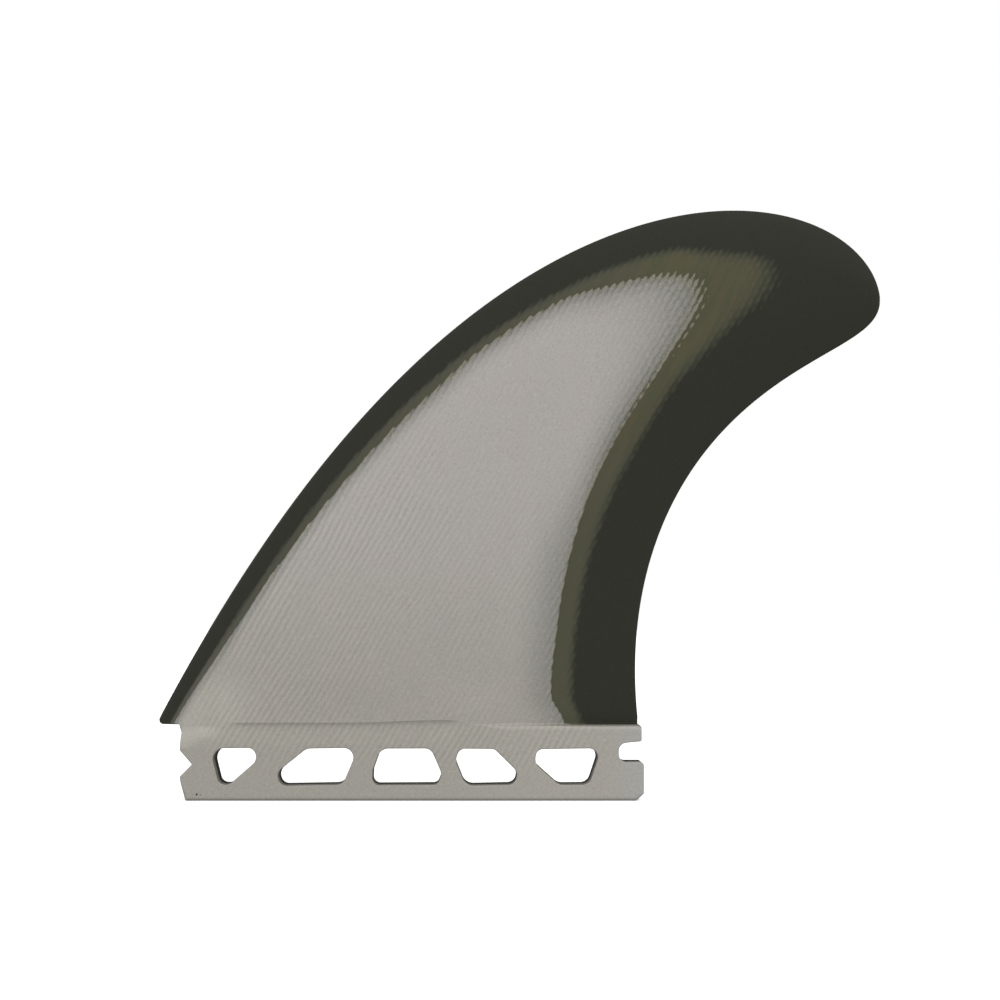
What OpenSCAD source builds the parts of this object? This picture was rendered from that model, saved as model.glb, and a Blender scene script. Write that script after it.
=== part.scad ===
// Right-hand side fin for a surfboard with long single-slot fin boxes.
// One machined panel of coloured glass-fibre plies: a foiled blade, flat on its inner side,
// standing on a plain tab with five weight-saving windows, a front notch and a rear pin slot.
//
// Frame: +Z along the blade's span, +X from the leading to the trailing edge, and the
// foiled outer side faces -Y. The origin is the centre of the tab's foot.

/* [Tab] */
// Length of the tab, which fits a standard 4.5 inch box
tab_length = 114.3; // [105:0.1:130]
// Height of the tab, as deep as the box
tab_height = 19.05; // [17:0.05:26]
// Thickness of the tab between its two cheeks
tab_thick = 6.8; // [5:0.1:7]
// Chamfer along the foot of both cheeks
foot_chamfer = 0.6; // [0.2:0.1:1.2]
// Height of the chamfer at the lower rear corner
rear_chamfer = 1.8; // [0.5:0.1:3]
// How far the front end leans back below its notch
front_lean = 1.3; // [0:0.1:2]
// How far the upper rear lug stops short of the lower one
lug_step = 0.55; // [0:0.05:1.5]
// Radius of the worn corners at the ends of the tab
worn_round = 0.9; // [0.3:0.1:1]
// How far down the front top corner is sanded into the blade's nose
sand_drop = 5; // [2:0.1:6]
// How far back that sanding runs
sand_run = 11; // [6:0.5:16]
// Worn edge of the shoulder where the blade is thinner than the tab
shoulder_wear = 0.6; // [0.3:0.05:0.8]

/* [Windows] */
// Lowest edge of the windows above the foot
window_sill = 3.75; // [3:0.05:5]
// Solid strip between the windows and the top of the tab
window_strip = 6.15; // [5.5:0.05:8]
// Distance from the front end to the first window
front_margin = 8.05; // [6:0.05:10]
// Wall between the last window and the pin slot
slot_wall = 4.1; // [3:0.05:6]
// Corner radius of the windows
window_round = 2.5; // [1:0.1:2.5]

/* [Box fittings] */
// Depth of the front notch for the set screw
notch_depth = 3; // [1.5:0.1:4]
// Height of the front notch at its mouth
notch_mouth = 6.45; // [4:0.05:8]
// Height of the front notch's point above the foot
notch_z = 9; // [7.5:0.05:11]
// How far the middle of the notch's mouth lies above its point
notch_tilt = 0.25; // [0:0.05:1]
// Width of the rear slot for the box's pin
slot_width = 4.55; // [4:0.05:6]
// Depth of the rear slot, from the rear end to its round bottom
slot_depth = 6.2; // [4:0.1:7]
// Corner radius of the slot's bottom
slot_round = 2; // [1:0.1:2]
// How much the slot's upper side rises to its mouth
slot_flare = 0.55; // [0:0.05:1]
// Height of the rear slot's centre above the foot
slot_z = 11.85; // [10:0.05:13]

/* [Blade outline] */
// Length of the blade's root
root_chord = 120.65; // [115:0.05:135]
// How far the blade's root stands out in front of the tab
root_overhang = 7; // [2:0.05:12]
// Worn lower corner of the blade's nose
nose_wear = 0.7; // [0.2:0.1:1.5]
// Height of the blade above its root
blade_depth = 128.45; // [110:0.05:145]
// Distance from the front of the root to the rearmost point of the tip
blade_reach = 181.15; // [165:0.05:205]
// Height of that point above the root
tip_rise = 105.9; // [95:0.1:115]
// How far the blade's root is set into the top of the tab
root_set_in = 0.45; // [0.3:0.05:1]

/* [Foil] */
// Greatest thickness of the blade, at its root
root_thick = 7.35; // [7.1:0.05:8]
// Thickness of the blade along its rim
rim_thick = 0.7; // [0.5:0.05:1.2]
// Place of the greatest thickness, as a share of the chord
crest_at = 0.35; // [0.25:0.01:0.4]
// How fast the blade thins as its chord shortens
thinning = 0.91; // [0.6:0.01:1.1]
// Height over which the blade's foot blends into the tab's cheek
foot_blend = 0.9; // [0.5:0.1:2]

/* [Plies] */
// Thickness of the dark plies, from the flat inner side
dark_plies = 3.3; // [3:0.01:4]
// Thickness of the olive ply over them
olive_ply = 0.47; // [0.2:0.01:0.8]

/* [Hidden] */

DARK = [0.17, 0.17, 0.15];
OLIVE = [0.31, 0.31, 0.21];
PALE = [0.64, 0.63, 0.59];

ROWS = 52;            // sections of the blade from root to tip
NOSE_STEPS = 12;      // points of a section ahead of its crest
TAIL_STEPS = 22;      // points of a section behind its crest
ARC_STEPS = 6;        // facets of a rounded window corner
PAST = 1;             // how far a cutting shape runs past what it cuts
SINK = 0.15;          // how deep the blade's first section lies under the cheek

front_x = -tab_length / 2;
rear_x = tab_length / 2;
inner_y = tab_thick / 2;             // the flat inner side
root_z = tab_height - root_set_in;
lead_x = front_x - root_overhang;
window_top = tab_height - window_strip;

// Bezier control points of the blade's two edge curves, between the root and the tip.
// Heights are shares of the blade's depth. Lengths are shares of the blade's reach for the
// leading edge, and of the sweep past the back of the root for the trailing edge.
LEAD_PULLS = [[0.2747, 0.7335], [0.5622, 1.1131], [0.9132, 1.1202], [1, 0.9108]];
TRAIL_PULLS = [[-0.1066, 0.4374], [0.3941, 0.7248], [1, 0.7056]];

// Fullness of the foil ahead of its crest and behind it, where 2 is an ellipse ahead and a
// parabola behind, as the control values of a curve from root to tip
NOSE_POWERS = [1.81, 1.94, 1.15];
TAIL_POWERS = [1.94, 2.9, 1.5];

// Corners of the windows: place along the row of windows and height in a window, both 0 to 1,
// then the corner's share of the windows' corner radius
WINDOWS = [
    [[-0.006, 1.006, 1.14], [0.106, 1.015, 0.8], [0.115, 0.688, 0.93], [0.041, 0.009, 0.94],
     [0.016, 0.066, 0.75]],
    [[0.242, 0.997, 1.18], [0.374, 1.016, 0.94], [0.3345, 0.03, 1.01], [0.1744, 0, 0.82],
     [0.165, 0.351, 0.97]],
    [[0.4315, 0.996, 1.09], [0.56, 1, 0.92], [0.5885, 0.324, 1.02], [0.5775, 0.026, 0.6],
     [0.41, 0.015, 0.68], [0.4115, 0.417, 0.78]],
    [[0.634, 0.995, 0.82], [0.723, 0.986, 0.66], [0.784, 0.363, 1.01], [0.775, 0.032, 0.82],
     [0.6495, 0, 1.18], [0.6235, 0.676, 1.2]],
    [[0.8335, 0.98, 0.7], [0.9975, 1.006, 0.88], [0.9665, 0.031, 0.94], [0.8885, 0.022, 1.24],
     [0.826, 0.614, 1.14]]
];

function lerp(a, b, f) = a + (b - a) * f;
function bezier(p, t) = len(p) == 1 ? p[0]
    : bezier([for (i = [0 : len(p) - 2]) lerp(p[i], p[i + 1], t)], t);

// Control points of the leading and trailing edge, as [x, z] in the fin's frame
root_front = [lead_x, root_z];
root_back = [lead_x + root_chord, root_z];
tip = [lead_x + blade_reach, root_z + tip_rise];
sweep = blade_reach - root_chord;
lead_points = [
    root_front,
    for (p = LEAD_PULLS) root_front + [p.x * blade_reach, p.y * blade_depth],
    tip];
trail_points = [
    root_back,
    for (p = TRAIL_PULLS) root_back + [p.x * sweep, p.y * blade_depth],
    tip];
function lead(t) = bezier(lead_points, t);
function trail(t) = bezier(trail_points, t);

// Share of a section's full height at place s along its chord
function foil(s, t) = s < crest_at
    ? let (n = bezier(NOSE_POWERS, t)) pow(1 - pow(1 - s / crest_at, n), 1 / n)
    : 1 - pow((s - crest_at) / (1 - crest_at), bezier(TAIL_POWERS, t));
// Greatest height of the section at t, and its height at s
function crest(t) = rim_thick
    + (root_thick - rim_thick) * pow(norm(trail(t) - lead(t)) / root_chord, thinning);
function height(s, t) = rim_thick + (crest(t) - rim_thick) * foil(s, t);

// Places along a chord, closest together at the round nose and at the steep tail
places = concat(
    [for (i = [0 : NOSE_STEPS - 1]) crest_at * (1 - cos(90 * i / NOSE_STEPS))],
    [for (i = [0 : TAIL_STEPS]) lerp(crest_at, 1, sin(90 * i / TAIL_STEPS))]);

// The root section lies just under the cheek, and the next one has its full height
root_climb = (len(lead_points) - 1) * (lead_points[1].y - root_z);
blend_t = foot_blend / root_climb;
function row_t(i) = i == 0 ? 0 : i == 1 ? blend_t : (i - 1) / (ROWS - 1);
function row_height(i, s) = i == 0 ? min(height(s, 0), tab_thick - SINK) : height(s, row_t(i));

// One section: its two corners on the flat side, then its foil from nose to tail
function section(i) =
    let (t = row_t(i), a = lead(t), b = trail(t))
    concat(
        [[a.x, inner_y, a.y], [b.x, inner_y, b.y]],
        [for (s = places) let (p = lerp(a, b, s)) [p.x, inner_y - row_height(i, s), p.y]]);

module foiled_blade() {
    across = len(places);
    ring = across + 2;
    last = (ROWS - 1) * ring;
    inner_tip = ROWS * ring;
    outer_tip = inner_tip + 1;
    points = concat(
        [for (i = [0 : ROWS - 1]) each section(i)],
        [[tip.x, inner_y, tip.y], [tip.x, inner_y - rim_thick, tip.y]]);
    skin = [for (i = [0 : ROWS - 2]) for (j = [2 : across])
        let (a = i * ring + j, b = a + ring)
        each [[a, b + 1, a + 1], [a, b, b + 1]]];
    flat_side = [for (i = [0 : ROWS - 2]) let (a = i * ring) [a, a + 1, a + ring + 1, a + ring]];
    lead_rim = [for (i = [0 : ROWS - 2]) let (a = i * ring) [a, a + ring, a + ring + 2, a + 2]];
    trail_rim = [for (i = [0 : ROWS - 2]) let (a = i * ring + 1, c = a + across)
        [a, c, c + ring, a + ring]];
    root_face = [concat([1, 0], [for (j = [2 : across + 1]) j])];
    tip_skin = [for (j = [2 : across]) [last + j, outer_tip, last + j + 1]];
    tip_sides = [
        [last, last + 1, inner_tip],
        [last, inner_tip, outer_tip, last + 2],
        [last + 1, last + across + 1, outer_tip, inner_tip]];
    polyhedron(points, concat(skin, flat_side, lead_rim, trail_rim, root_face, tip_skin, tip_sides),
        convexity = 4);
}

// The blade, with the lower corner of its nose worn off
module blade() {
    across = 2 * tab_thick;
    difference() {
        foiled_blade();
        translate([lead_x, 0, root_z])
            rotate([0, -45, 0])
                translate([(nose_wear - across) / sqrt(2), 0, 0])
                    cube([across, across, across] * sqrt(2), center = true);
    }
}

// Polygon of [x, z, radius] corners, each rounded by its radius
function unit(v) = v / norm(v);
function flat(p) = [p.x, p.y];
function rounded(p) = [for (i = [0 : len(p) - 1])
    let (c = flat(p[i]), r = p[i].z,
         u = unit(flat(p[(i + len(p) - 1) % len(p)]) - c),
         v = unit(flat(p[(i + 1) % len(p)]) - c),
         half = acos(u * v) / 2,
         middle = c + unit(u + v) * r / sin(half),
         from = c + u * r / tan(half) - middle,
         turn = (u.x * v.y - u.y * v.x > 0 ? -1 : 1) * acos(-(u * v)))
    for (k = [0 : ARC_STEPS])
        let (g = turn * k / ARC_STEPS)
        middle + [from.x * cos(g) - from.y * sin(g), from.x * sin(g) + from.y * cos(g)]];

module windows() {
    first_x = front_x + front_margin;
    last_x = rear_x - slot_depth - slot_wall;
    for (corners = WINDOWS)
        polygon(rounded([for (c = corners)
            [lerp(first_x, last_x, c.x), lerp(window_sill, window_top, c.y), c.z * window_round]]));
}

// Side view of the tab, with its front notch and its rear slot
module tab_outline() {
    lug_x = rear_x - lug_step;
    slot_x = rear_x - slot_depth;
    slot_low = slot_z - slot_width / 2;
    slot_high = slot_z + slot_width / 2;
    mouth_z = notch_z + notch_tilt;
    small = worn_round / 2;
    difference() {
        polygon(rounded([
            [front_x, tab_height, small], [lug_x, tab_height, small],
            [lug_x, slot_high + slot_flare, small],
            [slot_x, slot_high, slot_round], [slot_x, slot_low, slot_round],
            [rear_x, slot_low, worn_round],
            [rear_x, rear_chamfer, small], [rear_x - rear_chamfer, 0, small],
            [front_x + front_lean, 0, small],
            [front_x, mouth_z - notch_mouth / 2, small],
            [front_x + notch_depth, notch_z, small / 3],
            [front_x, mouth_z + notch_mouth / 2, small]]));
        windows();
    }
}

// End view of the tab, with its chamfered foot
module tab_profile() {
    y = tab_thick / 2;
    polygon([
        [-y, foot_chamfer], [-y + foot_chamfer, 0], [y - foot_chamfer, 0], [y, foot_chamfer],
        [y, tab_height], [-y, tab_height]]);
}

// What is sanded off the tab's front top corner, where its cheek runs into the blade's nose:
// everything outside the plane through three points
module sanding() {
    y = -tab_thick / 2;
    a = [front_x, inner_y - height(root_overhang / root_chord, 0), tab_height];
    b = [front_x + sand_run, y, tab_height];
    c = [front_x, y, tab_height - sand_drop];
    middle = (a + b + c) / 3;
    under = [for (p = [a, c, b]) middle + (p - middle) * 2];
    out = unit(cross(c - a, b - a)) * tab_thick;
    polyhedron(concat(under, [for (p = under) p + out]),
        [[0, 1, 2], [5, 4, 3], [0, 3, 4, 1], [1, 4, 5, 2], [2, 5, 3, 0]]);
}

// What wears off the tab's top edge, from where the blade gets thinner than the tab
module shoulder_edge() {
    y = -tab_thick / 2;
    places = [0, rear_x / 2, rear_x + PAST];
    cuts = [-shoulder_wear, shoulder_wear, shoulder_wear];
    points = [for (i = [0 : 2]) let (c = cuts[i]) each [
        [places[i], y - PAST, tab_height + PAST],
        [places[i], y + c + PAST, tab_height + PAST],
        [places[i], y - PAST, tab_height - c - PAST]]];
    polyhedron(points, [[2, 1, 0], [6, 7, 8],
        for (i = [0, 3]) each [[i + 1, i + 4, i + 3, i], [i + 2, i + 5, i + 4, i + 1],
            [i, i + 3, i + 5, i + 2]]]);
}

module tab() {
    difference() {
        intersection() {
            rotate([90, 0, 0])
                linear_extrude(tab_thick + 2 * PAST, center = true) tab_outline();
            rotate([90, 0, 90])
                linear_extrude(tab_length + 2 * PAST, center = true) tab_profile();
        }
        sanding();
        shoulder_edge();
    }
}

// The part of the fin between two depths from its flat inner side
module plies(from, to) {
    intersection() {
        union() {
            blade();
            tab();
        }
        translate([lead_x - PAST, inner_y - to, -PAST])
            cube([blade_reach + 2 * PAST, to - from, tab_height + blade_depth + 2 * PAST]);
    }
}

module fin() {
    olive_from = dark_plies;
    pale_from = dark_plies + olive_ply;
    color(DARK) plies(-PAST, olive_from);
    color(OLIVE) plies(olive_from, pale_from);
    color(PALE) plies(pale_from, root_thick + PAST);
}

fin();
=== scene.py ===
"""Surfboard side fin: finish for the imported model.

The fin is one machined panel of bonded plies. One closed mesh stands for it, made as a
height map over its side view, and one material lays the plies at judged depths, so that
the pale, olive and dark outlines come from where the foil cuts through them. In a few
places the plies are made uneven to fit those outlines to the photograph.
Lengths are in millimetres in this script until a mesh, lamp or camera is made.
"""
import math
from types import SimpleNamespace

import bpy
import numpy as np
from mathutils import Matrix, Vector
from mathutils.geometry import delaunay_2d_cdt


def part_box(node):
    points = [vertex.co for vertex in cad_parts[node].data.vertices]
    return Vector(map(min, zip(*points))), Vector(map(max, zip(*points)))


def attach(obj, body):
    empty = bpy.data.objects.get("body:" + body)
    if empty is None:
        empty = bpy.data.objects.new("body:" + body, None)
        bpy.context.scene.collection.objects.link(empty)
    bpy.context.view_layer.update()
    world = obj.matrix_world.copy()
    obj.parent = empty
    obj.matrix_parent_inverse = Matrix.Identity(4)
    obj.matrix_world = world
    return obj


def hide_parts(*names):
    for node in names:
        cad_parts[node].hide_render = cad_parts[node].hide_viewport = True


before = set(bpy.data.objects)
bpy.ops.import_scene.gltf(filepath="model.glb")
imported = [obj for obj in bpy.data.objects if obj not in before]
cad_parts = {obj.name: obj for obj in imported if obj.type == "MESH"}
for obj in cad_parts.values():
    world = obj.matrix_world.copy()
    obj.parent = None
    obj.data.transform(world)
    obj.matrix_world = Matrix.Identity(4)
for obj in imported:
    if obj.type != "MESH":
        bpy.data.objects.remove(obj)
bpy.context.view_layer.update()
MM = 0.001

# Sizes of the fin, in millimetres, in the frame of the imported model
INNER_Y, TOP_Z = [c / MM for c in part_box("fin")[1]][1:]

TAB_LENGTH = 114.3
TAB_HEIGHT = 19.05
TAB_THICK = 2 * INNER_Y
FRONT_X = -TAB_LENGTH / 2
REAR_X = TAB_LENGTH / 2
ROOT_Z = TAB_HEIGHT - 0.45
ROOT_CHORD = 120.65
ROOT_OVERHANG = 7.0
BLADE_DEPTH = 128.45
BLADE_REACH = 181.15
TIP_RISE = 105.9
LEAD_X = FRONT_X - ROOT_OVERHANG
TIP_X = LEAD_X + BLADE_REACH

ROOT_THICK = 7.35
RIM_THICK = 0.7
CREST_AT = 0.35
NOSE_POWERS = [1.81, 1.94, 1.15]
TAIL_POWERS = [1.94, 2.9, 1.5]
THINNING = 0.91

DARK_PLIES = 3.3
OLIVE_PLY = 0.47

LEAD_PULLS = [(0.2747, 0.7335), (0.5622, 1.1131), (0.9132, 1.1202), (1, 0.9108)]
TRAIL_PULLS = [(-0.1066, 0.4374), (0.3941, 0.7248), (1, 0.7056)]

# Side view of the tab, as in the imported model
FRONT_LEAN = 1.3
REAR_CHAMFER = 1.8
LUG_STEP = 0.55
NOTCH = (3.0, 6.45, 9.0, 0.25)    # depth, mouth, height of the point and of the mouth over it
SLOT = (6.2, 4.55, 11.85)         # depth, width and centre height
SLOT_ROUND = 2.0
SLOT_FLARE = 0.55
SLOT_WALL = 4.1
FRONT_MARGIN = 8.05
WINDOW_SILL = 3.75
WINDOW_TOP = TAB_HEIGHT - 6.15
WINDOW_ROUND = 2.5
WINDOWS = [
    [(-0.006, 1.006, 1.14), (0.106, 1.015, 0.8), (0.115, 0.688, 0.93), (0.041, 0.009, 0.94),
     (0.016, 0.066, 0.75)],
    [(0.242, 0.997, 1.18), (0.374, 1.016, 0.94), (0.3345, 0.03, 1.01), (0.1744, 0, 0.82),
     (0.165, 0.351, 0.97)],
    [(0.4315, 0.996, 1.09), (0.56, 1, 0.92), (0.5885, 0.324, 1.02), (0.5775, 0.026, 0.6),
     (0.41, 0.015, 0.68), (0.4115, 0.417, 0.78)],
    [(0.634, 0.995, 0.82), (0.723, 0.986, 0.66), (0.784, 0.363, 1.01), (0.775, 0.032, 0.82),
     (0.6495, 0, 1.18), (0.6235, 0.676, 1.2)],
    [(0.8335, 0.98, 0.7), (0.9975, 1.006, 0.88), (0.9665, 0.031, 0.94), (0.8885, 0.022, 1.24),
     (0.826, 0.614, 1.14)],
]

# Rounded edges, and the small worn corners of the real tab and nose
FOOT_ROUND = 1.0          # edges of the tab's foot
END_ROUND = 0.5           # edges of its rear end
FACE_ROUND = 0.3          # edges of the windows, the slot and the notch
RIM_ROUND = 0.25          # edge of the blade's rim
WORN = 0.9                # corners of the tab's ends, in side view
LUG_WORN = (0.35, 0.45, 0.3)      # cut of the lug's upper corner along x and z, and its radius
FRONT_BEND = (0.22, 4.4)          # bend of the leaning front end: x from its face, and z
FRONT_RISE = (-0.05, -2.2)        # bend over the notch: x from the face, z from the root
BEND_ROUND = 1.5
FRONT_TOP = (-0.68, 0.12)         # where the front end meets the blade: x from the face, radius
NOSE_WORN = [(1.75, 0.02, 0.5), (1.02, 0.45, 0.4), (0.77, 1.2, 0.4)]    # x, z and radius

# How the blade's foot meets the tab's cheek. A run is where a smooth step starts, and its length
FOOT_Z = 19.3             # foot line of the blade over the front half of the tab
FOOT_CLIMB = 0.65         # how far that line climbs towards the middle of the tab
CLIMB_RUN = (-16.0, 24.0)
FALL_RUN = (9.0, 10.0)    # and then it falls to the shoulder
FLUSH_IN = (-52.0, 7.0)   # the blade's foot is brought level with the cheek between these
FLUSH_OUT = (24.0, -10.0)
FLUSH_HEIGHT = 13.0       # and comes back to the foil this far up the blade
STEP_RUN = (-0.32, 0.6)   # from the cheek to the blade, over the foot line
GROOVE = 0.30             # depth of the fine groove under the foot line
GROOVE_FALL = 0.55        # how soon it reaches that depth
GROOVE_FADE = (1.2, 5.0)  # and where it runs out down the cheek
GROOVE_IN = (-46.5, 3.0)
GROOVE_OUT = (12.5, -3.5)
LEDGE_Z = 18.6            # top of the tab's shoulder behind the groove
LEDGE_ROUND = 1.15
LEDGE_IN = (12.0, 6.0)
FILLET = 0.5              # greatest radius of the fillet between the shoulder and the blade
FILLET_SHARE = 0.4
WALL_GAP = 0.015          # run of the shoulder's wall in side view
SAND_OUT = (-42.0, -3.0)  # the front corner of the tab is sanded into the blade's nose
SAND_LOW = 12.6
SAND_CLIMB = 3.2
SAND_RUN = (FRONT_X + 1, 5.0)

# Steps of the mesh, and where its points start and end
BLADE_STEP = 0.65
EDGE_STEP = 0.7
TAB_STEP = 1.1
BACK_STEP = 3.0
ARC_STEP = 0.22
ROW_SHARE = 0.87          # height of a staggered row for each step along it
LENGTH_SAMPLES = 4001
ROOT_PART = 0.1           # section parameter up to which a section near the root is sought
ROOT_TRIES = 6            # and the steps that take it there
NEAR_EDGE = (0.04, 0.1, 0.18, 0.3, 0.45, 0.65, 0.9, 1.25, 1.7, 2.3)
NEAR_SHARE = 0.3          # such points take no more than this share of a chord
FOOT_OFFSETS = (-2.0, -1.6, -1.3, -1.05, -0.85, -0.68, -0.52, -0.38, -0.26, -0.16, -0.07, 0,
                WALL_GAP, 0.06, 0.12, 0.2, 0.3, 0.42, 0.56)
FOOT_INSET = (0.4, 0.1)   # how far those points keep from the tab's front and rear end
FIRST_ROW = 0.0075        # section parameter of the first whole row of points
LOWEST_ROW = 0.0006       # and of the lowest row of the overhang
OVERHANG_ROWS = 11
OVERHANG_RUN = (NEAR_EDGE[-1] + 0.5, 18, 0.6)    # start, end and step of the points in a row
OVER_FOOT = 0.6           # the overhang's rows go on over the tab from this height up
TAB_CLEAR = 1.3           # the tab's grid ends this far below its top
RING_CLEAR = 0.05         # and the rings this far below the foot line
RIM_FROM = 3.0            # height over the foot line from which the rim is even
CLEARANCE = 0.025         # least distance of a point from the edges
SLIVER = 0.0002           # twice the area under which a triangle is only rounding
TINY = 1e-6
SHARP_ANGLE = math.radians(38)


def bezier(points, t):
    """Points of a Bezier curve at the parameters t."""
    t = np.asarray(t, float)[..., None]
    n = len(points) - 1
    total = 0
    for i, p in enumerate(points):
        total = total + math.comb(n, i) * t ** i * (1 - t) ** (n - i) * np.asarray(p, float)
    return total


def edge_curves():
    """Control points of the leading and the trailing edge."""
    sweep = BLADE_REACH - ROOT_CHORD
    tip = (TIP_X, ROOT_Z + TIP_RISE)
    lead = [(LEAD_X, ROOT_Z)]
    lead += [(LEAD_X + a * BLADE_REACH, ROOT_Z + b * BLADE_DEPTH) for a, b in LEAD_PULLS] + [tip]
    back = LEAD_X + ROOT_CHORD
    trail = [(back, ROOT_Z)]
    trail += [(back + a * sweep, ROOT_Z + b * BLADE_DEPTH) for a, b in TRAIL_PULLS] + [tip]
    return lead, trail


LEAD, TRAIL = edge_curves()


def blade_height(t, s):
    """Height of the foil over the flat side, at section t and place s along its chord."""
    t, s = np.broadcast_arrays(np.asarray(t, float), np.asarray(s, float))
    chord = np.linalg.norm(bezier(TRAIL, t) - bezier(LEAD, t), axis=-1)
    crest = RIM_THICK + (ROOT_THICK - RIM_THICK) * (chord / ROOT_CHORD) ** THINNING
    nose = bezier([(p,) for p in NOSE_POWERS], t)[..., 0]
    tail = bezier([(p,) for p in TAIL_POWERS], t)[..., 0]
    ahead = np.clip(1 - s / CREST_AT, 0, 1)
    behind = np.clip((s - CREST_AT) / (1 - CREST_AT), 0, 1)
    share = np.where(s < CREST_AT, (1 - ahead ** nose) ** (1 / nose), 1 - behind ** tail)
    return RIM_THICK + (crest - RIM_THICK) * share


def blend(x, start, length):
    """Smooth step from 0 to 1 from start on over length, backwards where that is negative."""
    x = np.clip((x - start) / length, 0, 1)
    return x * x * (3 - 2 * x)


def arc_drop(distance, radius):
    """Drop of a rounded edge below its face, at a distance in from the edge."""
    inwards = np.clip(radius - distance, 0, radius)
    return radius - np.sqrt(np.maximum(radius ** 2 - inwards ** 2, 0))


def round_corners(path):
    """Closed polygon through (x, z, corner radius, edge radius) corners, corners rounded."""
    points = []
    n = len(path)
    for i, (x, z, radius, edge) in enumerate(path):
        corner = np.array((x, z), float)
        if radius == 0:
            points.append((x, z, edge))
            continue
        before = np.array(path[i - 1][:2]) - corner
        after = np.array(path[(i + 1) % n][:2]) - corner
        before /= np.linalg.norm(before)
        after /= np.linalg.norm(after)
        half = math.acos(np.clip(before @ after, -1, 1)) / 2
        inwards = (before + after) / np.linalg.norm(before + after)
        middle = corner + inwards * radius / math.sin(half)
        start = corner + before * radius / math.tan(half) - middle
        turn = math.pi - 2 * half
        if before[0] * after[1] - before[1] * after[0] > 0:
            turn = -turn
        steps = max(4, int(abs(turn) * radius / ARC_STEP))
        for k in range(steps + 1):
            a = turn * k / steps
            c, s = math.cos(a), math.sin(a)
            points.append((middle[0] + start[0] * c - start[1] * s,
                           middle[1] + start[0] * s + start[1] * c, edge))
    return points


def subdivide(points, step):
    """The same closed polygon with no edge longer than step."""
    out = []
    for i, p in enumerate(points):
        q = points[(i + 1) % len(points)]
        length = math.hypot(q[0] - p[0], q[1] - p[1])
        pieces = max(1, math.ceil(length / step))
        for k in range(pieces):
            f = k / pieces
            out.append(tuple(p[j] + (q[j] - p[j]) * f for j in range(3)))
    return np.array(out)


def row_parameters():
    """Section parameters, evenly spaced along the blade, from just over the foot to the tip."""
    t = np.linspace(0, 1, LENGTH_SAMPLES)
    speed = np.linalg.norm(np.diff(bezier(LEAD, t), axis=0), axis=1)
    speed += np.linalg.norm(np.diff(bezier(TRAIL, t), axis=0), axis=1)
    length = np.concatenate([[0], np.cumsum(speed / 2)])
    start = np.interp(FIRST_ROW, t, length)
    count = int((length[-1] - start) / BLADE_STEP)
    return np.interp(np.linspace(start, length[-1], count + 1), length, t)


ROWS = row_parameters()


def rear_end():
    """Corners of the tab's rear end, from the lug's top down to the foot."""
    lug_x = REAR_X - LUG_STEP
    cut_x, cut_z, lug_round = LUG_WORN
    depth, width, centre_z = SLOT
    slot_x = REAR_X - depth
    slot_low, slot_high = centre_z - width / 2, centre_z + width / 2
    return [
        (lug_x - cut_x, LEDGE_Z + WALL_GAP, 0, RIM_ROUND),
        (lug_x - cut_x, LEDGE_Z, 0, END_ROUND),
        (lug_x, LEDGE_Z - cut_z, lug_round, END_ROUND),
        (lug_x, slot_high + SLOT_FLARE, WORN / 2, FACE_ROUND),
        (slot_x, slot_high, SLOT_ROUND, FACE_ROUND),
        (slot_x, slot_low, SLOT_ROUND, FACE_ROUND),
        (REAR_X, slot_low, WORN, FACE_ROUND),
        (REAR_X, REAR_CHAMFER, WORN / 2, END_ROUND),
        (REAR_X - REAR_CHAMFER, 0, WORN / 2, FOOT_ROUND),
    ]


def front_end():
    """Corners of the tab's front end and of the blade's nose, from the foot up."""
    depth, mouth, point_z, tilt = NOTCH
    mouth_z = point_z + tilt
    corners = [
        (FRONT_X + FRONT_LEAN, 0, WORN / 2, FOOT_ROUND),
        (FRONT_X + FRONT_BEND[0], FRONT_BEND[1], BEND_ROUND, FACE_ROUND),
        (FRONT_X, mouth_z - mouth / 2, WORN / 2, FACE_ROUND),
        (FRONT_X + depth, point_z, WORN / 6, FACE_ROUND),
        (FRONT_X, mouth_z + mouth / 2, WORN / 2, FACE_ROUND),
        (FRONT_X + FRONT_RISE[0], ROOT_Z + FRONT_RISE[1], BEND_ROUND, FACE_ROUND),
        (FRONT_X + FRONT_TOP[0], ROOT_Z, FRONT_TOP[1], RIM_ROUND),
    ]
    return corners + [(LEAD_X + x, ROOT_Z + z, radius, RIM_ROUND) for x, z, radius in NOSE_WORN]


def outline():
    """Outer outline of the fin, as an array of x, z and edge radius."""
    path = [(x, z, 0, RIM_ROUND) for x, z in bezier(LEAD, ROWS)]
    path += [(x, z, 0, RIM_ROUND) for x, z in bezier(TRAIL, ROWS[-2::-1])]
    loop = subdivide(round_corners(path + rear_end() + front_end()), EDGE_STEP)
    loop[:, 1] = np.minimum(loop[:, 1], TOP_Z)
    return loop


def window_outlines():
    """Outlines of the five windows."""
    first = FRONT_X + FRONT_MARGIN
    last = REAR_X - SLOT[0] - SLOT_WALL
    loops = []
    for corners in WINDOWS:
        path = [(first + (last - first) * u, WINDOW_SILL + (WINDOW_TOP - WINDOW_SILL) * v,
                 share * WINDOW_ROUND, FACE_ROUND) for u, v, share in corners]
        loops.append(subdivide(round_corners(path), EDGE_STEP))
    return loops


def inside(loop, points):
    """Which points lie inside a closed polygon."""
    x, z = points[:, 0], points[:, 1]
    result = np.zeros(len(points), bool)
    for a, b in zip(loop, np.roll(loop, -1, axis=0)):
        crosses = (a[1] > z) != (b[1] > z)
        if a[1] != b[1]:
            result ^= crosses & (x < (b[0] - a[0]) * (z - a[1]) / (b[1] - a[1]) + a[0])
    return result


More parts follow.
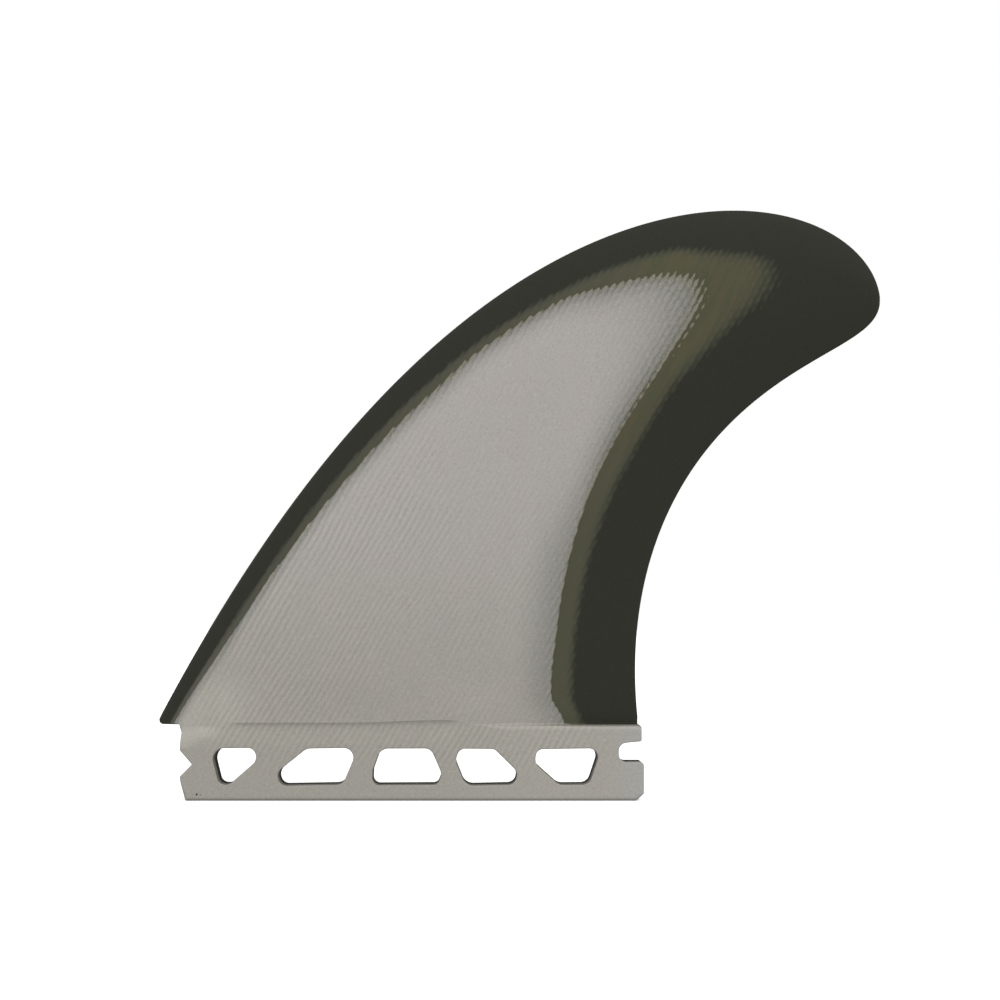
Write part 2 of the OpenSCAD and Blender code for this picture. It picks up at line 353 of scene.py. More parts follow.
def in_side_view(loops, points):
    """Which points lie in the fin's side view: inside the outline and outside the windows."""
    keep = inside(loops[0], points)
    for hole in loops[1:]:
        keep &= ~inside(hole, points)
    return keep


def edge_distance(loops, points):
    """Distance of each point from the nearest edge, and the edge radius there."""
    distance = np.full(len(points), np.inf)
    radius = np.zeros(len(points))
    for loop in loops:
        for a, b in zip(loop, np.roll(loop, -1, axis=0)):
            along = b[:2] - a[:2]
            f = np.clip(((points - a[:2]) @ along) / max(along @ along, 1e-12), 0, 1)
            d = np.hypot(*(points - a[:2] - f[:, None] * along).T)
            nearer = d < distance
            distance = np.where(nearer, d, distance)
            radius = np.where(nearer, a[2] + (b[2] - a[2]) * f, radius)
    return distance, radius


def foil_near_root(x, z):
    """Height of the foil at points near the root, from the section that passes through them."""
    x, z = np.broadcast_arrays(np.asarray(x, float), np.maximum(np.asarray(z, float), ROOT_Z))
    t = np.zeros(x.shape)
    climb = ((len(LEAD) - 1) * (LEAD[1][1] - ROOT_Z), (len(TRAIL) - 1) * (TRAIL[1][1] - ROOT_Z))
    for _ in range(ROOT_TRIES):
        a, b = bezier(LEAD, t), bezier(TRAIL, t)
        share = np.clip((x - a[..., 0]) / (b[..., 0] - a[..., 0]), 0, 1)
        miss = a[..., 1] + (b[..., 1] - a[..., 1]) * share - z
        t = np.clip(t - miss / (climb[0] + (climb[1] - climb[0]) * share), 0, ROOT_PART)
    return blade_height(t, share)


def foot_line(x):
    """Height of the line where the blade meets the tab."""
    x = np.asarray(x, float)
    climb = FOOT_Z + FOOT_CLIMB * blend(x, *CLIMB_RUN)
    return climb + (LEDGE_Z - climb) * blend(x, *FALL_RUN)


def swelling(x, z):
    """How far the blade's foot departs from the foil, so that it ends level with the cheek."""
    lack = TAB_THICK - foil_near_root(x, ROOT_Z)
    span = blend(x, *FLUSH_IN) * blend(x, *FLUSH_OUT)
    return lack * span * (1 - blend(z, TAB_HEIGHT, FLUSH_HEIGHT))


def groove(x, rise):
    """Depth of the groove under the foot line: sharp above, running out down the cheek."""
    under = np.maximum(-rise, 0)
    span = blend(x, *GROOVE_IN) * blend(x, *GROOVE_OUT)
    return GROOVE * span * (1 - np.exp(-under / GROOVE_FALL)) * (1 - blend(under, *GROOVE_FADE))


def foot_height(x, z):
    """Height of the outer face below and just over the foot line, without its outer edges."""
    x, z = np.broadcast_arrays(np.asarray(x, float), np.asarray(z, float))
    blade = foil_near_root(x, z) + swelling(x, z)
    rise = z - foot_line(x)
    cheek = TAB_THICK + (blade - TAB_THICK) * blend(rise, *STEP_RUN) - groove(x, rise)
    lack = np.maximum(TAB_THICK - blade, 0)
    fillet = np.minimum(FILLET, FILLET_SHARE * lack)
    shoulder = TAB_THICK - arc_drop(-rise, np.minimum(LEDGE_ROUND, lack - fillet))
    over = blade + arc_drop(rise, np.maximum(fillet, TINY))
    ledge = np.where(rise <= WALL_GAP / 2, shoulder, over)
    sand_low = SAND_LOW + SAND_CLIMB * blend(x, *SAND_RUN)
    sanded = TAB_THICK + (blade - TAB_THICK) * blend(z, sand_low, ROOT_Z - sand_low)
    front = blend(x, *SAND_OUT)
    rear = blend(x, *LEDGE_IN)
    height = cheek * (1 - front) + sanded * front
    return height * (1 - rear) + ledge * rear


def base_height(x, z):
    """Height of the outer face at points of the tab and of the blade's foot."""
    return np.where(x < FRONT_X - TINY, foil_near_root(x, z), foot_height(x, z))


def blade_points():
    """Points of the blade over its foot: x, z and the height of the outer face."""
    rows = []
    for t in ROWS[:-1]:
        a, b = bezier(LEAD, t), bezier(TRAIL, t)
        chord = np.linalg.norm(b - a)
        near = [d for d in NEAR_EDGE if d < chord * NEAR_SHARE]
        start = near[-1] if near else 0
        count = max(2, int((chord - 2 * start) / BLADE_STEP) + 1)
        middle = np.linspace(start, chord - start, count + 1)[1:-1]
        reach = np.concatenate([near, middle, [chord - d for d in near[::-1]]])
        s = reach / chord
        place = a + (b - a) * s[:, None]
        rows.append(np.column_stack([place, blade_height(t, s) + swelling(*place.T)]))
    return np.concatenate(rows)


def overhang_points():
    """Points of the blade's foot in front of the tab and over its sanded corner."""
    rows = []
    reach = np.concatenate([NEAR_EDGE, np.arange(*OVERHANG_RUN)])
    for t in np.linspace(LOWEST_ROW, FIRST_ROW, OVERHANG_ROWS)[:-1]:
        a, b = bezier(LEAD, t), bezier(TRAIL, t)
        s = reach / np.linalg.norm(b - a)
        place = a + (b - a) * s[:, None]
        keep = (place[:, 0] < FRONT_X) | (place[:, 1] > foot_line(place[:, 0]) + OVER_FOOT)
        height = blade_height(t, s) + swelling(*place.T)
        rows.append(np.column_stack([place, height])[keep])
    return np.concatenate(rows)


def foot_points():
    """Points across the line where the blade meets the tab."""
    x = np.arange(FRONT_X + FOOT_INSET[0], REAR_X - LUG_STEP - FOOT_INSET[1], EDGE_STEP)
    rows = []
    for rise in FOOT_OFFSETS:
        z = foot_line(x) + rise
        rows.append(np.column_stack([x, z, foot_height(x, z)]))
    return np.concatenate(rows)


def ring_points(loops):
    """Points at set distances on both sides of the edges."""
    out = []
    for loop in loops:
        p = loop[:, :2]
        along = np.roll(p, -1, axis=0) - np.roll(p, 1, axis=0)
        along /= np.linalg.norm(along, axis=1)[:, None] + 1e-12
        normal = np.column_stack([-along[:, 1], along[:, 0]])
        for d in NEAR_EDGE:
            for side in (1, -1):
                out.append(p + normal * d * side)
    return np.concatenate(out)


def grid_points(x_from, x_to, z_to, step):
    """Points of a staggered grid that starts at the foot."""
    rows = []
    for i, z in enumerate(np.arange(0, z_to, step * ROW_SHARE)):
        x = np.arange(x_from + (i % 2) * step / 2, x_to, step)
        rows.append(np.column_stack([x, np.full(len(x), z)]))
    return np.concatenate(rows)


def clear_points(loops, points):
    """The points that lie in the side view clear of its edges, and their drop near an edge."""
    points = points[in_side_view(loops, points)]
    distance, radius = edge_distance(loops, points[:, :2])
    clear = distance > CLEARANCE
    return points[clear], arc_drop(distance[clear], radius[clear])


def border_edges(loops):
    """Index pairs of the loops' edges, where the loops' points are numbered on in order."""
    edges = []
    start = 0
    for loop in loops:
        n = len(loop)
        edges += [(start + i, start + (i + 1) % n) for i in range(n)]
        start += n
    return edges


def regions(triangles, borders):
    """Number of the region that each triangle lies in. Regions end at the border edges."""
    region = list(range(len(triangles)))

    def first(i):
        while region[i] != i:
            region[i] = region[region[i]]
            i = region[i]
        return i

    seen = {}
    for i, (a, b, c) in enumerate(triangles.tolist()):
        for edge in (frozenset((a, b)), frozenset((b, c)), frozenset((c, a))):
            if edge in borders:
                continue
            if edge in seen:
                region[first(i)] = first(seen[edge])
            seen[edge] = i
    return [first(i) for i in range(len(triangles))]


def triangulate(loops, extra):
    """Triangles over the side view. The loops' points come first, in order."""
    given = np.concatenate([loop[:, :2] for loop in loops] + [extra[:, :2]])
    edges = border_edges(loops)
    result = delaunay_2d_cdt([Vector(p) for p in given], edges, [], 0, 1e-7)
    points = np.array([tuple(p) for p in result[0]])
    triangles = np.array(result[2])
    source = [origin[0] if origin else -1 for origin in result[3]]
    # A region is kept whole, by its largest triangle. One of slivers only lies along a border
    place = {origin: i for i, origin in enumerate(source)}
    region = regions(triangles, {frozenset((place[a], place[b])) for a, b in edges})
    corners = points[triangles]
    one, two = corners[:, 1] - corners[:, 0], corners[:, 2] - corners[:, 0]
    size = np.abs(one[:, 0] * two[:, 1] - one[:, 1] * two[:, 0])
    keep = in_side_view(loops, corners.mean(axis=1)) & (size > SLIVER)
    chosen = {region[i]: keep[i] for i in np.argsort(size)}
    return points, triangles[[chosen[r] for r in region]], np.array(source)


def face(loops, extra, rim_height, height):
    """Vertices in metres, triangles, and which vertices stand for the rim's points."""
    points, triangles, source = triangulate(loops, extra)
    y = INNER_Y - np.concatenate([rim_height, height])[source]
    place = np.column_stack([points[:, 0], y, points[:, 1]]) * MM
    return place, triangles, np.argsort(source)[:len(rim_height)]


def outer_face(loops, rim):
    """The foiled side of the fin."""
    even = rim[:, 1] > foot_line(rim[:, 0]) + RIM_FROM
    rim_height = np.where(even, RIM_THICK, base_height(rim[:, 0], rim[:, 1]))
    grid = grid_points(FRONT_X, REAR_X, TAB_HEIGHT - TAB_CLEAR, TAB_STEP)
    rings = ring_points(loops)
    rings = rings[rings[:, 1] < foot_line(rings[:, 0]) - RING_CLEAR]
    tab = np.concatenate([grid, rings])
    tab = np.column_stack([tab, base_height(tab[:, 0], tab[:, 1])])
    extra = np.concatenate([blade_points(), overhang_points(), foot_points(), tab])
    extra, drop = clear_points(loops, extra)
    return face(loops, extra, rim_height - rim[:, 2], extra[:, 2] - drop)


def flat_face(loops, rim):
    """The flat side of the fin."""
    grid = grid_points(LEAD_X, TIP_X, TOP_Z, BACK_STEP)
    extra, drop = clear_points(loops, np.concatenate([grid, ring_points(loops)]))
    return face(loops, extra, rim[:, 2], drop)


def shoelace(loop):
    """Signed area of a closed polygon."""
    x, z = loop[:, 0], loop[:, 1]
    return 0.5 * np.sum(x * np.roll(z, -1) - z * np.roll(x, -1))


def fin_mesh():
    """Closed mesh of the fin: outer face, flat face and the walls between them."""
    outer = outline()
    if shoelace(outer) < 0:
        outer = outer[::-1]
    loops = [outer] + [hole if shoelace(hole) < 0 else hole[::-1] for hole in window_outlines()]
    rim = np.concatenate(loops)
    front, triangles, front_of = outer_face(loops, rim)
    back, back_triangles, back_of = flat_face(loops, rim)
    back_of = back_of + len(front)
    faces = triangles.tolist() + (back_triangles[:, ::-1] + len(front)).tolist()
    for a, b in border_edges(loops):
        faces.append([int(i) for i in (front_of[b], front_of[a], back_of[a], back_of[b])])
    mesh = bpy.data.meshes.new("fin_laminate")
    mesh.from_pydata(np.concatenate([front, back]).tolist(), [], faces)
    mesh.validate()
    mesh.shade_smooth()
    mesh.set_sharp_from_angle(angle=SHARP_ANGLE)
    return mesh


class Graph:
    """Short calls for making a material's nodes."""

    def __init__(self, tree):
        self.tree = tree

    def node(self, kind, inputs=(), **settings):
        """A node with its inputs linked to sockets or set to values."""
        made = self.tree.nodes.new(kind)
        for name, value in settings.items():
            setattr(made, name, value)
        for key, value in dict(inputs).items():
            if isinstance(value, bpy.types.NodeSocket):
                self.tree.links.new(value, made.inputs[key])
            else:
                made.inputs[key].default_value = value
        return made

    def math(self, operation, *values, clamp=False):
        """Result of a sum on one or two values."""
        return self.node("ShaderNodeMath", enumerate(values), operation=operation,
                         use_clamp=clamp).outputs[0]

    def add(self, first, *others):
        """Sum of all the values."""
        for other in others:
            first = self.math("ADD", first, other)
        return first

    def times(self, first, *others):
        """Product of all the values."""
        for other in others:
            first = self.math("MULTIPLY", first, other)
        return first

    def rest(self, share):
        """What a share leaves of one."""
        return self.math("SUBTRACT", 1.0, share)

    def swing(self, share, size):
        """A value from 0 to 1 turned into one that swings size either way of nothing."""
        return self.times(self.math("SUBTRACT", share, 0.5), 2 * size)

    def wave(self, value, period):
        """Cosine wave of the value, from -1 to 1."""
        return self.math("COSINE", self.times(value, 2 * math.pi / period))

    def ramp(self, value, start, end, low=0.0, high=1.0):
        """Smooth step of value from start to end, giving low to high."""
        made = self.node("ShaderNodeMapRange", {"Value": value, "From Min": start, "From Max": end,
                                                "To Min": low, "To Max": high})
        made.interpolation_type = "SMOOTHSTEP"
        return made.outputs["Result"]

    def noise(self, vector, scale, detail=2.0, rough=0.5):
        """Noise from 0 to 1, with scale in spots for each millimetre."""
        made = self.node("ShaderNodeTexNoise", {"Vector": vector, "Scale": scale, "Detail": detail,
                                                "Roughness": rough})
        return made.outputs["Fac"]

    def join(self, x, y=0.0, z=0.0):
        """Vector of three values."""
        return self.node("ShaderNodeCombineXYZ", {"X": x, "Y": y, "Z": z}).outputs[0]

    def split(self, vector):
        """The three values of a vector, by name."""
        return self.node("ShaderNodeSeparateXYZ", {0: vector}).outputs

    def stretch(self, vector, factors):
        """The vector with each of its values multiplied by its own factor."""
        return self.node("ShaderNodeVectorMath", {0: vector, 1: factors},
                         operation="MULTIPLY").outputs[0]

    def mix(self, share, a, b):
        """Colour a turned into colour b by the share."""
        return self.node("ShaderNodeMix", {0: share, 6: a, 7: b}, data_type="RGBA").outputs[2]


def srgb(r, g, b):
    """Linear colour of a screen colour given from 0 to 255."""
    out = []
    for c in (r, g, b):
        c /= 255
        out.append(c / 12.92 if c <= 0.04045 else ((c + 0.055) / 1.055) ** 2.4)
    return (*out, 1.0)


# The cloth's strands rise towards the trailing edge. A pit, painted as a dark spot of shade, has x,
# z, radius and strength
STRAND_ANGLE = math.radians(59.5)
STRAND_PITCH = 1.42
STRAND_CRIMP = 0.032      # waviness of the bond between two plies, strand by strand
CROSS_CRIMP = 0.019       # and at the crossings of the strands
FINE_CRIMP = 0.03
PITS = [(-52.9, 1.62, 0.34, 0.95), (-52.0, 1.5, 0.18, 0.8), (-45.8, 1.5, 0.16, 0.5)]
RELIEF = 0.006            # height of the strands' and of the grain's relief

# Colours. A pair is the ends of a variation
TAB_FRONT, TAB_MIDDLE, TAB_REAR = srgb(166, 162, 154), srgb(170, 166, 158), srgb(171, 170, 166)
PALE_LOW = srgb(162, 160, 153), srgb(166, 161, 154)
PALE_HIGH = srgb(174, 171, 167), srgb(176, 170, 166)
PALE_NOSE = srgb(175, 172, 163)
PALE_THIN, PALE_THIN_TIP = srgb(133, 133, 128), srgb(118, 118, 111)
BETWEEN_STRANDS = srgb(92, 91, 80)
CREAM = srgb(134, 131, 110)
SHADE, LIGHT = srgb(96, 93, 84), srgb(225, 220, 208)
OLIVE = srgb(82, 82, 64), srgb(88, 84, 65)
OLIVE_LOW, OLIVE_FRONT, OLIVE_NOSE = srgb(78, 79, 68), srgb(80, 80, 72), srgb(92, 90, 82)
OLIVE_SHADE = srgb(60, 59, 42)
VEIL = srgb(66, 69, 61)
DARK = srgb(49, 50, 43), srgb(52, 53, 46)
# Painted shade of the walls between the two faces
WALL_SHADE = srgb(42, 39, 30)
# Painted shade of the rounded edges that face down
UNDER_EDGE_SHADE = srgb(60, 58, 52)
# Painted shadow under the blade's foot line
FOOT_LINE_SHADE = srgb(92, 88, 78)
# Painted shade in the pits
PIT_SHADE = srgb(40, 33, 24)

# In the functions below, a ramp on x, z, across or along starts and ends at two places on the
# fin, in millimetres, and its other two numbers are what it gives there

def places(g):
    """Positions in millimetres, and masks of the walls and of the lower edges, for their painted
    shade.
    """
    coordinates = g.node("ShaderNodeTexCoord").outputs
    at = g.node("ShaderNodeVectorMath", {0: coordinates["Object"], "Scale": 1 / MM},
                operation="SCALE").outputs[0]
    parts = g.split(at)
    x, y, z = parts["X"], parts["Y"], parts["Z"]
    normal = g.split(coordinates["Normal"])
    facing = g.math("ABSOLUTE", normal["Y"])
    # The round of the shoulder takes the walls' painted shade near the lug, and not further forward
    shoulder = g.ramp(z, 16.0, 17.5)
    on_ledge = g.times(shoulder, g.ramp(x, 24.0, 46.0, -0.14, 0.24))
    low_ledge = g.times(shoulder, g.ramp(z, 20.5, 19.5), g.ramp(x, 46.0, 24.0))
    wall = g.times(g.ramp(facing, g.add(on_ledge, 0.62), 0.35), g.rest(low_ledge))
    # Rounded edges that face down, for their painted shade
    under_edge_shade = g.times(g.ramp(facing, 0.99, 0.74), g.ramp(normal["Z"], 0.25, -0.10))
    return SimpleNamespace(at=at, x=x, y=y, z=z, depth=g.math("SUBTRACT", INNER_Y, y), wall=wall,
                           under_edge_shade=under_edge_shade)


def add_strands(g, p):
    """Patterns of the cloth, a little uneven across and along its strands."""
    sine, cosine = math.sin(STRAND_ANGLE), math.cos(STRAND_ANGLE)
    across = g.add(g.times(p.x, -sine), g.times(p.z, cosine))
    along = g.add(g.times(p.x, cosine), g.times(p.z, sine))
    p.across = g.add(across, g.swing(g.noise(p.at, 0.035, 1.0), 1.5))
    p.along = g.add(along, g.swing(g.noise(p.at, 0.2, 1.0), 1.2))
    fabric = g.join(p.across, p.along, p.y)
    drawn = g.stretch(fabric, (1.0, 0.16, 0.0))
    p.threads = g.noise(drawn, 1.1, 2.0, 0.6)
    p.streaks = g.noise(drawn, 0.45, 2.0, 0.5)
    p.fine = g.noise(g.stretch(fabric, (1.0, 0.55, 1.0)), 2.6, 2.0, 0.6)
    p.grit = g.add(g.times(p.fine, 0.6), g.times(g.noise(p.at, 3.4, 1.0), 0.4))
    p.strand = g.wave(g.add(p.across, g.swing(p.threads, 0.22)), STRAND_PITCH)
    p.crossing = g.times(g.wave(p.across, 2 * STRAND_PITCH), g.wave(p.along, 2 * STRAND_PITCH))
    p.rear_side = g.ramp(p.across, 34.0, 10.0)


def add_bonds(g, p):
    """Height of the surface over the two bonds, and the shares of the plies that it shows."""
    x, z, across, along = p.x, p.z, p.across, p.along
    # The bonds wave with the strands, more so towards the tip
    crimp = g.add(g.times(p.strand, STRAND_CRIMP), g.times(p.crossing, CROSS_CRIMP),
                  g.swing(p.fine, FINE_CRIMP))
    at_nose = g.times(g.ramp(z, 22.0, 60.0, 0.45, 1.0), g.rest(p.rear_side))
    at_tail = g.times(g.ramp(z, 72.0, 112.0, 0.35, 1.0), p.rear_side)
    crimp = g.times(crimp, g.add(at_nose, at_tail))
    # Fitted to the photo: the plies are uneven at the tip, the nose, the tail and the foot
    uneven_top = g.times(g.ramp(along, 88.0, 104.0), g.ramp(across, 21.0, 30.0, 0.0, 0.13))
    uneven_nose = g.times(g.ramp(along, 12.0, -12.0), g.ramp(across, 40.0, 58.0, 0.0, 0.34))
    uneven_tail = g.times(g.ramp(along, 56.0, 42.0), g.ramp(across, 4.0, -6.0, 0.0, -0.07))
    uneven_foot = g.times(g.ramp(z, 26.0, 19.0), g.ramp(x, 18.0, 34.0, 0.0, 0.38))
    uneven_foot = g.add(uneven_foot, uneven_nose)
    height = g.add(p.depth, crimp, g.add(uneven_top, uneven_tail, uneven_foot))
    p.over_olive = g.math("SUBTRACT", height, DARK_PLIES + OLIVE_PLY)
    p.pale = g.ramp(p.over_olive, -0.036, 0.020)
    soft_crimp = g.add(g.times(p.strand, 0.03), g.times(p.crossing, 0.025), g.swing(p.threads, 0.11))
    dark_crimp = g.add(soft_crimp, g.times(p.rear_side, 0.13), g.times(uneven_foot, 0.75))
    over_dark = g.math("SUBTRACT", g.add(p.depth, dark_crimp), DARK_PLIES)
    uneven_tip = g.times(g.ramp(along, 100.0, 124.0), g.ramp(across, 13.0, 5.0, 0.0, -0.145))
    far_tip = g.times(g.ramp(along, 144.0, 152.0), g.ramp(across, 2.0, -6.0, 0.0, 0.45))
    p.over_dark = g.add(over_dark, g.times(uneven_tip, g.rest(far_tip)))
    p.olive = g.ramp(p.over_dark, -0.12, 0.10)


def add_ridges(g, p):
    """How strongly the strands show, by place."""
    p.tab_share = g.ramp(p.z, TAB_HEIGHT + 0.4, TAB_HEIGHT - 0.6)
    on_blade = g.times(g.ramp(p.across, 14.0, 48.0, 0.5, 0.92), g.ramp(p.z, 65.0, 110.0, 1.0, 0.28))
    on_tab = g.times(g.ramp(p.z, 3.0, 13.0, 0.15, 0.85), g.ramp(p.x, 50.0, 38.0, 0.3, 1.0))
    strength = g.add(g.times(on_blade, g.rest(p.tab_share)), g.times(on_tab, p.tab_share))
    patch = g.ramp(g.noise(p.at, 0.05, 1.0), 0.35, 0.62, 0.62, 1.0)
    front = g.ramp(g.add(p.x, g.times(p.z, 0.3)), -52.0, -40.0, 0.1, 1.0)
    strength = g.times(strength, patch, front)
    p.ridge = g.times(p.strand, strength, g.ramp(p.threads, 0.30, 0.55, 0.5, 1.0))


def pale_ply(g, p):
    """Colour of the pale ply, thinner and greyer towards its edge."""
    on_tab = g.mix(g.ramp(p.x, 0.0, 40.0), TAB_FRONT, TAB_MIDDLE)
    on_tab = g.mix(g.ramp(p.x, 47.0, 57.0), on_tab, TAB_REAR)
    blotch = g.ramp(g.noise(p.at, 0.10, 2.0), 0.34, 0.66)
    colour = g.mix(g.ramp(p.z, 22.0, 80.0), g.mix(blotch, *PALE_LOW), g.mix(blotch, *PALE_HIGH))
    colour = g.mix(p.tab_share, colour, on_tab)
    nose_foot = g.times(g.ramp(p.x, -34.0, -50.0), g.ramp(p.z, 34.0, 24.0), g.ramp(p.z, 12.0, 17.0))
    colour = g.mix(g.times(nose_foot, 0.8), colour, PALE_NOSE)

    # Where the ply runs thin the dark below shows through
    tip_share = g.ramp(p.z, 55.0, 90.0)
    left = g.times(p.over_olive, g.ramp(p.rear_side, 0.0, 1.0, 1.8, 1.0))
    thin = g.times(g.ramp(left, 0.0, 1.15, 1.0, 0.0), g.rest(tip_share))
    colour = g.mix(g.times(thin, 0.82), colour, PALE_THIN)
    thin_tip = g.math("SUBTRACT", 1.0, g.times(p.over_olive, 1.43), clamp=True)
    colour = g.mix(g.times(thin_tip, thin_tip, tip_share), colour, PALE_THIN_TIP)

    # Its broken edge: gaps between the strands, and cream ends of the strands
    gap = g.times(g.ramp(p.strand, -0.2, -0.9), g.ramp(p.crossing, 0.25, -0.4))
    edge = g.ramp(p.over_olive, 0.04, 0.24, 1.0, 0.0)
    colour = g.mix(g.times(gap, edge, 0.5), colour, BETWEEN_STRANDS)
    cream = g.times(g.ramp(p.over_olive, 0.13, 0.04), g.ramp(p.strand, -0.3, 0.4))
    colour = g.mix(g.times(cream, g.ramp(p.z, 25.0, 65.0, 0.2, 0.7)), colour, CREAM)

    # Light and shade of the strands and of the grain
    colour = g.mix(g.ramp(p.ridge, 0.0, -1.0, 0.0, 0.16), colour, SHADE)
    colour = g.mix(g.ramp(p.ridge, 0.0, 1.0, 0.0, 0.10), colour, LIGHT)
    colour = g.mix(g.ramp(p.grit, 0.50, 0.28, 0.0, 0.22), colour, SHADE)
    return g.mix(g.ramp(p.grit, 0.50, 0.72, 0.0, 0.16), colour, LIGHT)


def lower_plies(g, p):
    """Colour of the olive ply and of the dark ones, with a grey veil where the olive is thin."""
    colour = g.mix(g.ramp(p.streaks, 0.35, 0.65), *OLIVE)
    colour = g.mix(g.ramp(p.z, 110.0, 60.0, 0.0, 0.5), colour, OLIVE_LOW)
    colour = g.mix(g.ramp(p.rear_side, 1.0, 0.0, 0.0, 0.5), colour, OLIVE_FRONT)
    nose_strip = g.times(g.ramp(p.z, 60.0, 28.0), g.ramp(p.rear_side, 1.0, 0.0))
    colour = g.mix(g.times(nose_strip, 0.8), colour, OLIVE_NOSE)
    beside = g.ramp(p.over_olive, -0.10, -0.01)
    colour = g.mix(g.times(beside, 0.2), colour, OLIVE_SHADE)
    veil = g.times(g.ramp(p.over_dark, 0.24, 0.02), g.ramp(p.threads, 0.35, 0.6, 0.4, 1.0))
    colour = g.mix(g.times(veil, 0.7), colour, VEIL)
    return g.mix(p.olive, g.mix(g.ramp(p.fine, 0.3, 0.7), *DARK), colour)


def add_painted_shade(g, p, colour):
    """The colour with painted shade on the walls and the lower edges, under the foot line and in the
    pits.
    """
    # Painted shade on the walls, more of it towards the flat side
    colour = g.mix(g.times(p.wall, g.ramp(p.depth, 3.4, 4.4, 0.7, 0.5)), colour, WALL_SHADE)
    # Painted shade on the lower edges
    colour = g.mix(g.times(p.under_edge_shade, 0.2), colour, UNDER_EDGE_SHADE)
    outer_side = g.ramp(p.depth, 2.0, 5.0)
    # Painted shadow under the blade's foot line, on the outer side, from the nose to the middle of
    # the tab
    foot = g.math("SUBTRACT", p.z, g.ramp(p.x, -16.0, 8.0, FOOT_Z, FOOT_Z + FOOT_CLIMB))
    foot_line_shade = g.times(g.ramp(foot, 0.08, -0.12), g.ramp(foot, -1.5, -0.1),
                     g.ramp(p.x, -46.5, -43.5), g.ramp(p.x, 12.5, 8.5), outer_side)
    colour = g.mix(g.times(foot_line_shade, 0.16), colour, FOOT_LINE_SHADE)
    # Painted shade in small pits at the foot, which the mesh doesn't have
    side_view = g.join(p.x, 0.0, p.z)
    for x, z, size, share in PITS:
        away = g.node("ShaderNodeVectorMath", {0: side_view, 1: (x, 0.0, z)},
                      operation="DISTANCE").outputs["Value"]
        spot = g.ramp(g.add(away, g.swing(p.grit, 0.12)), size, size * 0.55, 0.0, share)
        colour = g.mix(g.times(spot, outer_side), colour, PIT_SHADE)
    return colour


def relief(g, p):
    """Bump of the strands, of the grain and of the pale ply's edge."""
    height = g.add(g.times(p.ridge, RELIEF), g.swing(p.fine, RELIEF))
    height = g.times(height, g.add(g.times(p.pale, 0.8), 0.2))
    height = g.add(height, g.times(p.pale, RELIEF))
    return g.node("ShaderNodeBump", {"Height": g.times(height, MM), "Strength": 1.0,
                                     "Distance": 1.0}).outputs[0]


def laminate_material():
    """Bonded plies of woven glass: pale over olive over dark, each where the foil cuts it."""
    material = bpy.data.materials.new("fin_plies")
    material.use_nodes = True
    tree = material.node_tree
    tree.nodes.clear()
    g = Graph(tree)
    p = places(g)
    add_strands(g, p)
    add_bonds(g, p)
    add_ridges(g, p)
    colour = add_painted_shade(g, p, g.mix(p.pale, lower_plies(g, p), pale_ply(g, p)))
    roughness = g.add(g.times(p.fine, 0.12), 0.46, g.times(p.wall, 0.4))
    shader = g.node("ShaderNodeBsdfPrincipled", {"Base Color": colour, "Normal": relief(g, p),
                                                 "Roughness": roughness})
    shader.inputs["Specular IOR Level"].default_value = 0.04
    shader.inputs["IOR"].default_value = 1.5
    output = g.node("ShaderNodeOutputMaterial")
    tree.links.new(shader.outputs[0], output.inputs["Surface"])
    return material


fin = bpy.data.objects.new("fin_laminate", fin_mesh())
bpy.context.scene.collection.objects.link(fin)
fin.data.materials.append(laminate_material())
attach(fin, "root")
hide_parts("fin")


# The photograph's view: pixel straight ahead of the lens, its distance and focal length
IMAGE = 1000
FOOT_PIXEL = (460, 625)
PIXEL_MM = 0.2459         # size of a pixel at the tab's outer cheek
TAB_MIDDLE_PIXEL = 411.8
TAB_FOOT_PIXEL = 801.1
LENS_DISTANCE = 347.6
SENSOR = 36.0

# The studio, in metres and watts
FLOOR_HALF = 12.0
FLOOR_COLOUR = (0.9, 0.9, 0.9, 1)
FLOOR_GLOW = 0.45
WHITE = (1, 1, 1, 1)
KEY_SIZE = (0.5, 0.35)
KEY_POWER = 1.2
KEY_AT = (0.25, -0.45, 0.62)
KEY_AIM = (0.01, 0, 0.07)


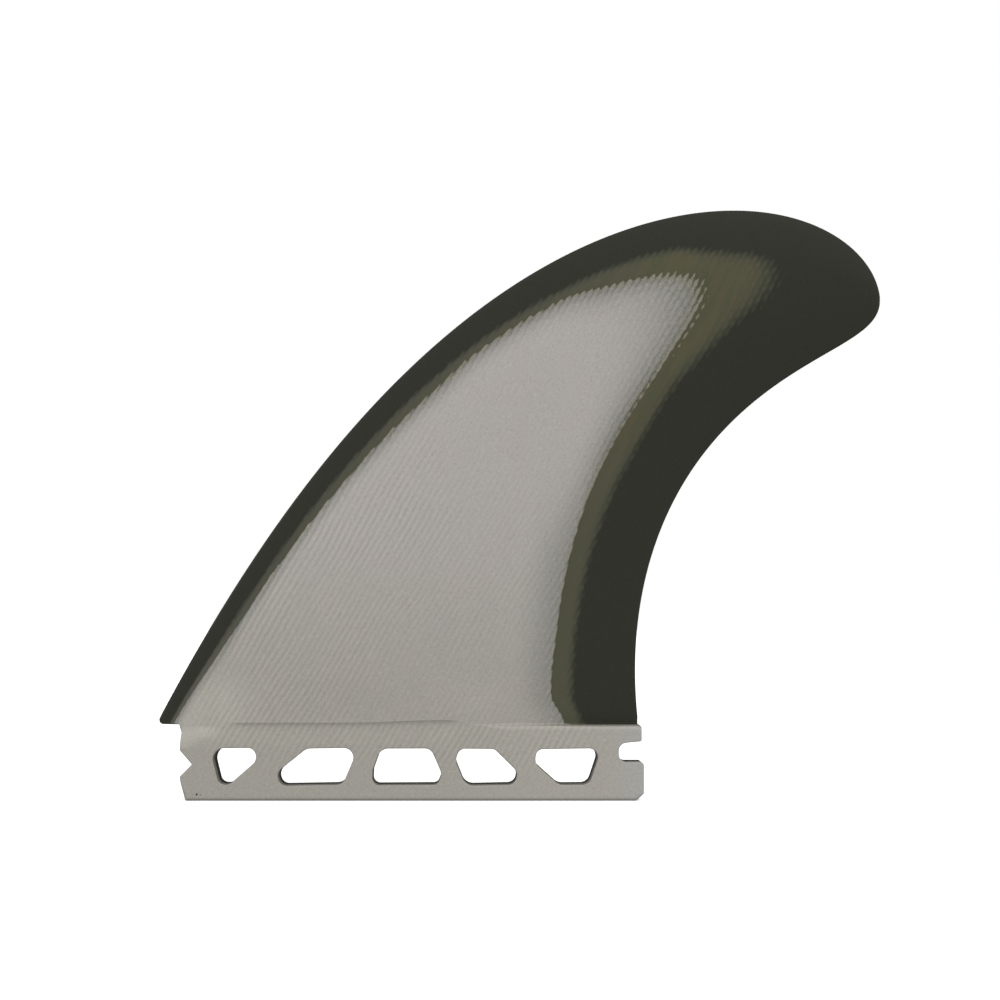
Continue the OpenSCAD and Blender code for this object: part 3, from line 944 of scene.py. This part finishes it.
def make_camera():
    """Camera at the photograph's viewing angle, level and square to the fin."""
    data = bpy.data.cameras.new("camera")
    data.sensor_width = SENSOR
    data.lens = SENSOR * LENS_DISTANCE / PIXEL_MM / IMAGE
    data.shift_x = (IMAGE / 2 - FOOT_PIXEL[0]) / IMAGE
    data.shift_y = (FOOT_PIXEL[1] - IMAGE / 2) / IMAGE
    data.clip_start = 0.01
    data.clip_end = 50
    camera = bpy.data.objects.new("camera", data)
    camera.location = (
        (FOOT_PIXEL[0] - TAB_MIDDLE_PIXEL) * PIXEL_MM * MM,
        (-TAB_THICK / 2 - LENS_DISTANCE) * MM,
        (TAB_FOOT_PIXEL - FOOT_PIXEL[1]) * PIXEL_MM * MM)
    camera.rotation_euler = (math.pi / 2, 0, 0)
    bpy.context.scene.collection.objects.link(camera)
    bpy.context.scene.camera = camera


def make_stage():
    """Pale floor that runs to the horizon."""
    mesh = bpy.data.meshes.new("floor")
    a = FLOOR_HALF
    mesh.from_pydata([(-a, -a, 0), (a, -a, 0), (a, a, 0), (-a, a, 0)], [], [(0, 1, 2, 3)])
    floor = bpy.data.objects.new("floor", mesh)
    bpy.context.scene.collection.objects.link(floor)
    material = bpy.data.materials.new("pale_floor")
    material.use_nodes = True
    shader = material.node_tree.nodes["Principled BSDF"]
    shader.inputs["Base Color"].default_value = FLOOR_COLOUR
    shader.inputs["Roughness"].default_value = 0.9
    shader.inputs["Specular IOR Level"].default_value = 0.0
    shader.inputs["Emission Color"].default_value = WHITE
    shader.inputs["Emission Strength"].default_value = FLOOR_GLOW
    mesh.materials.append(material)
    floor.visible_diffuse = False
    floor.visible_glossy = False


def make_light():
    """Soft studio light: a pale surround that is brighter above, and one large lamp."""
    world = bpy.data.worlds.new("studio")
    world.use_nodes = True
    tree = world.node_tree
    tree.nodes.clear()
    g = Graph(tree)
    up = g.split(g.node("ShaderNodeTexCoord").outputs["Generated"])["Z"]
    level = g.ramp(up, -0.35, -0.02, 0.45, 1.0)
    background = g.node("ShaderNodeBackground", {"Color": WHITE, "Strength": level})
    output = g.node("ShaderNodeOutputWorld")
    tree.links.new(background.outputs[0], output.inputs["Surface"])
    bpy.context.scene.world = world
    data = bpy.data.lights.new("key", "AREA")
    data.shape = "RECTANGLE"
    data.size, data.size_y = KEY_SIZE
    data.energy = KEY_POWER
    key = bpy.data.objects.new("key", data)
    key.location = KEY_AT
    key.rotation_euler = (Vector(KEY_AIM) - key.location).to_track_quat("-Z", "Y").to_euler()
    bpy.context.scene.collection.objects.link(key)


make_camera()
make_stage()
make_light()
scene = bpy.context.scene
scene.view_settings.view_transform = "Standard"
scene.view_settings.look = "None"
